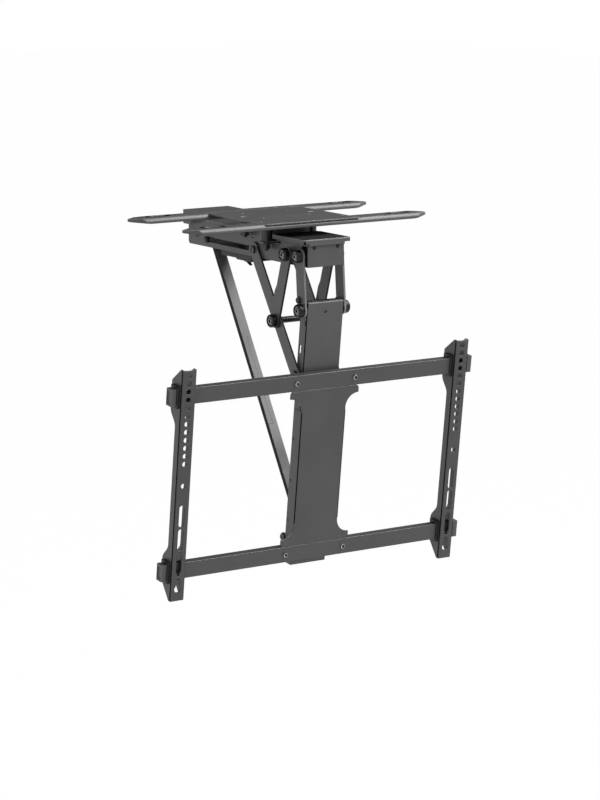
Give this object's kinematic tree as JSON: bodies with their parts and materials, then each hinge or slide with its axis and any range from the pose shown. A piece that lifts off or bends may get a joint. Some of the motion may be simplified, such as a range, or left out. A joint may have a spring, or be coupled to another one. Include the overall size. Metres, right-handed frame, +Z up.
{
  "type": "motorized tv ceiling mount",
  "caption": "Motor-driven ceiling mount whose linkage folds a television frame up flat under a drive housing; rails above, sliding brackets on a framed plate below.",
  "frame": {"origin": "middle of the face that lies on the ceiling", "axes": "+Z up into the ceiling, +X along the ceiling rails, -Y towards the viewer of the lowered screen"},
  "size_m": [0.662, 0.4388, 0.6747],
  "materials": {
    "powder_steel": "fine-grained charcoal powder coat, satin",
    "black_fastener": "blackened steel",
    "black_cap": "moulded nylon over steel pins, satin",
    "black_plastic": "moulded plastic, fine texture",
    "plated_steel": "bright zinc plate",
    "carriage_plastic": "moulded acetal",
    "board": "circuit board",
    "cast_gearbox": "die-cast"
  },
  "bodies": {
    "base": {"ceiling_rail_front": "powder_steel", "ceiling_rail_rear": "powder_steel", "ceiling_plate": "powder_steel", "rail_bolts": "black_fastener", "hanger_bolts": "black_fastener", "hanger_nuts": "black_fastener", "ceiling_spacer": "black_fastener", "hanger_strap_front": "powder_steel", "hanger_strap_rear": "powder_steel", "housing_shell": "powder_steel", "front_wall": "powder_steel", "front_cover": "powder_steel", "cover_screws": "black_fastener", "cable_tray": "black_plastic", "motor": "black_plastic", "gearbox": "cast_gearbox", "screw_bearings": "cast_gearbox", "limit_switches": "black_plastic", "control_board": "board", "power_inlet": "black_plastic", "short_link_pins": "black_cap", "brace_top_pin": "black_fastener"},
    "screw": {"drive_screw": "plated_steel"},
    "carriage": {"carriage": "carriage_plastic", "carriage_pin": "plated_steel"},
    "short_links": {"short_link_left": "powder_steel", "short_link_right": "powder_steel"},
    "drive_bars": {"drive_bar_left": "powder_steel", "drive_bar_right": "powder_steel", "cross_tube": "plated_steel", "drive_bar_pins": "black_cap"},
    "tv_frame": {"spine": "powder_steel", "spine_pins": "black_cap", "stop_bolt": "black_fastener", "brace_foot_pin": "black_fastener", "middle_plate": "powder_steel", "plate_ties": "powder_steel", "bar_spacers": "powder_steel", "upper_bar": "powder_steel", "lower_bar": "powder_steel", "bar_end_caps": "black_plastic", "bar_screws": "black_fastener"},
    "swing_links": {"swing_link_left": "powder_steel", "swing_link_right": "powder_steel", "swing_link_caps": "black_cap"},
    "upper_brace": {"upper_brace": "powder_steel", "elbow_pin": "black_fastener"},
    "lower_brace": {"lower_brace": "powder_steel", "elbow_heads": "black_fastener"},
    "bracket_left": {"bracket_left": "powder_steel", "bracket_left_clips": "black_plastic", "bracket_left_screw": "black_fastener"},
    "bracket_right": {"bracket_right": "powder_steel", "bracket_right_clips": "black_plastic", "bracket_right_screw": "black_fastener"}
  },
  "joints": [
    {"name": "main_fold", "type": "hinge", "parent": "base", "child": "short_links", "pos_m": [0, -0.106, -0.06], "axis": [1, 0, 0], "range_deg": [0, 55.62]},
    {"name": "drive_bar_fold", "type": "hinge", "parent": "short_links", "child": "drive_bars", "pos_m": [0, -0.06507, -0.18822], "axis": [1, 0, 0], "range_deg": [-99.2, 0]},
    {"name": "frame_fold", "type": "hinge", "parent": "drive_bars", "child": "tv_frame", "pos_m": [0, -0.1268, -0.28205], "axis": [1, 0, 0], "range_deg": [0, 126.7]},
    {"name": "swing_link_fold", "type": "hinge", "parent": "tv_frame", "child": "swing_links", "pos_m": [0, -0.14843, -0.15927], "axis": [1, 0, 0], "range_deg": [-123.5, 0]},
    {"name": "carriage_slide", "type": "slide", "parent": "base", "child": "carriage", "axis": [0, 1, 0], "range_m": [0, 0.1507]},
    {"name": "screw_turn", "type": "hinge", "parent": "base", "child": "screw", "pos_m": [0, 0, -0.0565], "axis": [0, 1, 0], "range_deg": [0, 2165]},
    {"name": "upper_brace_fold", "type": "hinge", "parent": "base", "child": "upper_brace", "pos_m": [0, 0.231, -0.058], "axis": [1, 0, 0], "range_deg": [0, 110.2]},
    {"name": "lower_brace_fold", "type": "hinge", "parent": "tv_frame", "child": "lower_brace", "pos_m": [0, -0.09046, -0.59445], "axis": [1, 0, 0], "range_deg": [-140.7, 0]},
    {"name": "bracket_left_slide", "type": "slide", "parent": "tv_frame", "child": "bracket_left", "axis": [1, 0, 0], "range_m": [0, 0.19]},
    {"name": "bracket_right_slide", "type": "slide", "parent": "tv_frame", "child": "bracket_right", "axis": [-1, 0, 0], "range_m": [0, 0.19]}
  ],
  "couplings": [
    {"joint": "drive_bar_fold", "follows": "main_fold", "ratio": -1.7818},
    {"joint": "frame_fold", "follows": "main_fold", "ratio": 2.2751},
    {"joint": "swing_link_fold", "follows": "main_fold", "ratio": -2.2186},
    {"joint": "carriage_slide", "follows": "main_fold", "m_per_rad": 0.15509},
    {"joint": "screw_turn", "follows": "main_fold", "ratio": 38.836},
    {"joint": "upper_brace_fold", "follows": "main_fold", "ratio": 1.9787},
    {"joint": "lower_brace_fold", "follows": "main_fold", "ratio": -2.5269}
  ]
}
